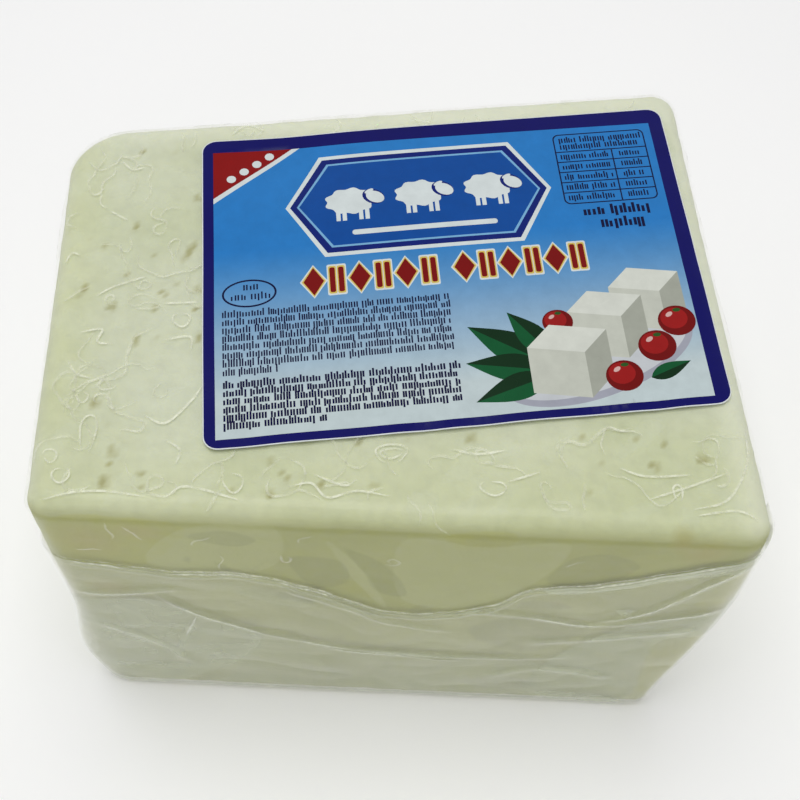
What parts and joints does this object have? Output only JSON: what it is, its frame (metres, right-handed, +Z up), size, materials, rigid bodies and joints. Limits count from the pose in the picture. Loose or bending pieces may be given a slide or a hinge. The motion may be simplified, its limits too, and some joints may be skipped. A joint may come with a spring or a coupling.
{
  "type": "vacuum-packed sheep milk cheese block",
  "caption": "Block of white sheep milk cheese sealed tight in clear creased film, with a printed paper label stuck on its top; it rests on its flat underside.",
  "frame": {"origin": "centre of the underside of the block's box, on the surface that it rests on", "axes": "+Z up, +X along the block's long side to the right of the front, -Y out of the front"},
  "size_m": [0.1209, 0.0952, 0.0878],
  "materials": {
    "film": "clear, glossy, finely creased film drawn tight over the cheese",
    "cheese": "moist white cheese, pale yellow-green, with small pits",
    "label": "semi-gloss printed paper, blue field with a dark blue border"
  },
  "bodies": {
    "root": {"packed_cheese": "film", "label": "label"}
  },
  "joints": []
}
